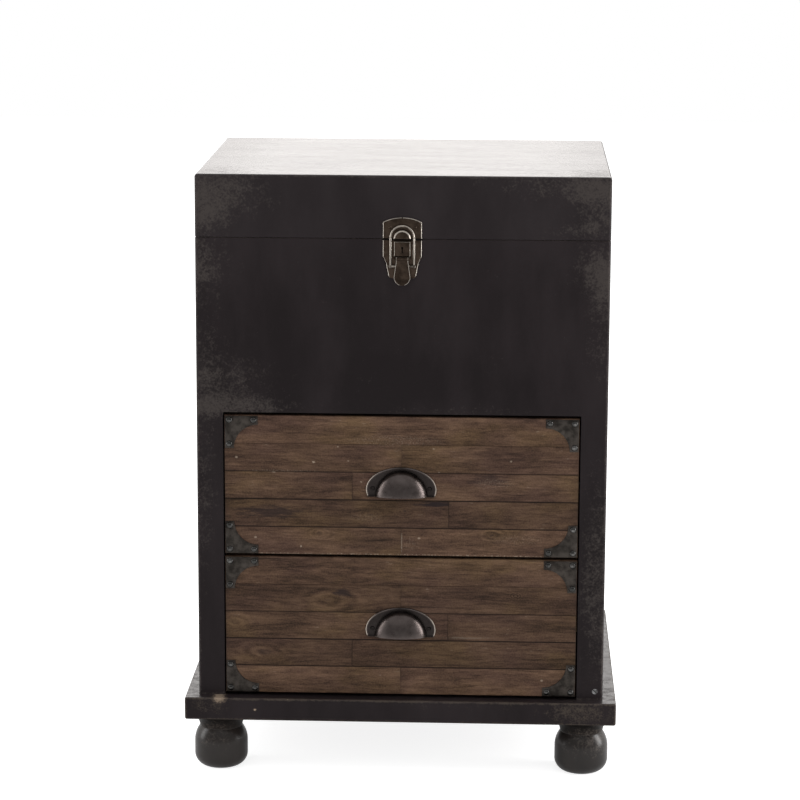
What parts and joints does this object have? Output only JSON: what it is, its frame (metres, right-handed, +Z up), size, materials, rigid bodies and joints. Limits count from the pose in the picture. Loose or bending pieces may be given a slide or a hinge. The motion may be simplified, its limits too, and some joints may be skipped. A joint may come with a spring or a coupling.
{
  "type": "lift-lid trunk dresser",
  "caption": "Trunk-style dresser: a lift-lid compartment with a toggle latch over plank-faced drawers with corner plates and cup pulls, on an overhanging plinth with turned bun feet.",
  "frame": {"origin": "on the floor, at the middle of the overall width and depth", "axes": "+Z up, the front faces -Y, +X to the right of someone who faces the front"},
  "size_m": [0.49, 0.4049, 0.6865],
  "materials": {
    "black_paint": "satin black paint on wood, rubbed thin at corners and edges",
    "plank_wood": "dark stained reclaimed pine strips, waxed",
    "box_wood": "bare pine and thin ply",
    "dark_iron": "blackened iron",
    "pull_metal": "dark bronzed metal, rubbed bright on the edges",
    "antique_brass": "antiqued brass, worn bright on the edges",
    "steel": "plain steel"
  },
  "bodies": {
    "case": {"back_panel": "box_wood", "back_rail": "black_paint", "base_board": "black_paint", "foot_back_left": "black_paint", "foot_back_right": "black_paint", "foot_front_left": "black_paint", "foot_front_right": "black_paint", "front_panel": "black_paint", "hinge_case_screws": "steel", "hinge_left_case_leaf": "steel", "hinge_left_pin": "steel", "hinge_right_case_leaf": "steel", "hinge_right_pin": "steel", "latch_lever_pin": "antique_brass", "latch_lock_case": "antique_brass", "latch_plate": "antique_brass", "latch_plate_screws": "antique_brass", "lower_runner_left": "box_wood", "lower_runner_right": "box_wood", "runner_screws": "steel", "side_panel_left": "black_paint", "side_panel_right": "black_paint", "stile_left": "black_paint", "stile_right": "black_paint", "stile_screw": "steel", "trunk_floor": "box_wood", "upper_runner_left": "box_wood", "upper_runner_right": "box_wood"},
    "lid": {"lid_top": "black_paint", "lid_front_wall": "black_paint", "lid_back_wall": "black_paint", "lid_left_wall": "black_paint", "lid_right_wall": "black_paint", "hinge_left_lid_leaf": "steel", "hinge_right_lid_leaf": "steel", "hinge_lid_screws": "steel", "latch_strike": "antique_brass", "latch_strike_screws": "antique_brass"},
    "lever": {"latch_lever": "antique_brass"},
    "bail": {"latch_bail": "antique_brass"},
    "upper_drawer": {"upper_corner_plates": "dark_iron", "upper_corner_rivets": "dark_iron", "upper_cup_pull": "pull_metal", "upper_drawer_back": "box_wood", "upper_drawer_bottom": "box_wood", "upper_drawer_front": "box_wood", "upper_drawer_planks": "plank_wood", "upper_drawer_side_left": "box_wood", "upper_drawer_side_right": "box_wood", "upper_pull_screws": "pull_metal"},
    "lower_drawer": {"lower_corner_plates": "dark_iron", "lower_corner_rivets": "dark_iron", "lower_cup_pull": "pull_metal", "lower_drawer_back": "box_wood", "lower_drawer_bottom": "box_wood", "lower_drawer_front": "box_wood", "lower_drawer_planks": "plank_wood", "lower_drawer_side_left": "box_wood", "lower_drawer_side_right": "box_wood", "lower_pull_screws": "pull_metal"}
  },
  "joints": [
    {"name": "lid_hinge", "type": "hinge", "parent": "case", "child": "lid", "pos_m": [0, 0.192, 0.61625], "axis": [-1, 0, 0], "range_deg": [0, 95]},
    {"name": "latch_lever", "type": "hinge", "parent": "case", "child": "lever", "pos_m": [0, -0.1881, 0.595], "axis": [-1, 0, 0], "range_deg": [0, 120]},
    {"name": "latch_bail", "type": "hinge", "parent": "lever", "child": "bail", "pos_m": [0, -0.1873, 0.5865], "axis": [-1, 0, 0], "range_deg": [-138, 0]},
    {"name": "upper_drawer_slide", "type": "slide", "parent": "case", "child": "upper_drawer", "axis": [0, -1, 0], "range_m": [0, 0.23]},
    {"name": "lower_drawer_slide", "type": "slide", "parent": "case", "child": "lower_drawer", "axis": [0, -1, 0], "range_m": [0, 0.23]}
  ],
  "couplings": [
    {"joint": "latch_bail", "follows": "latch_lever", "ratio": -1.15}
  ]
}
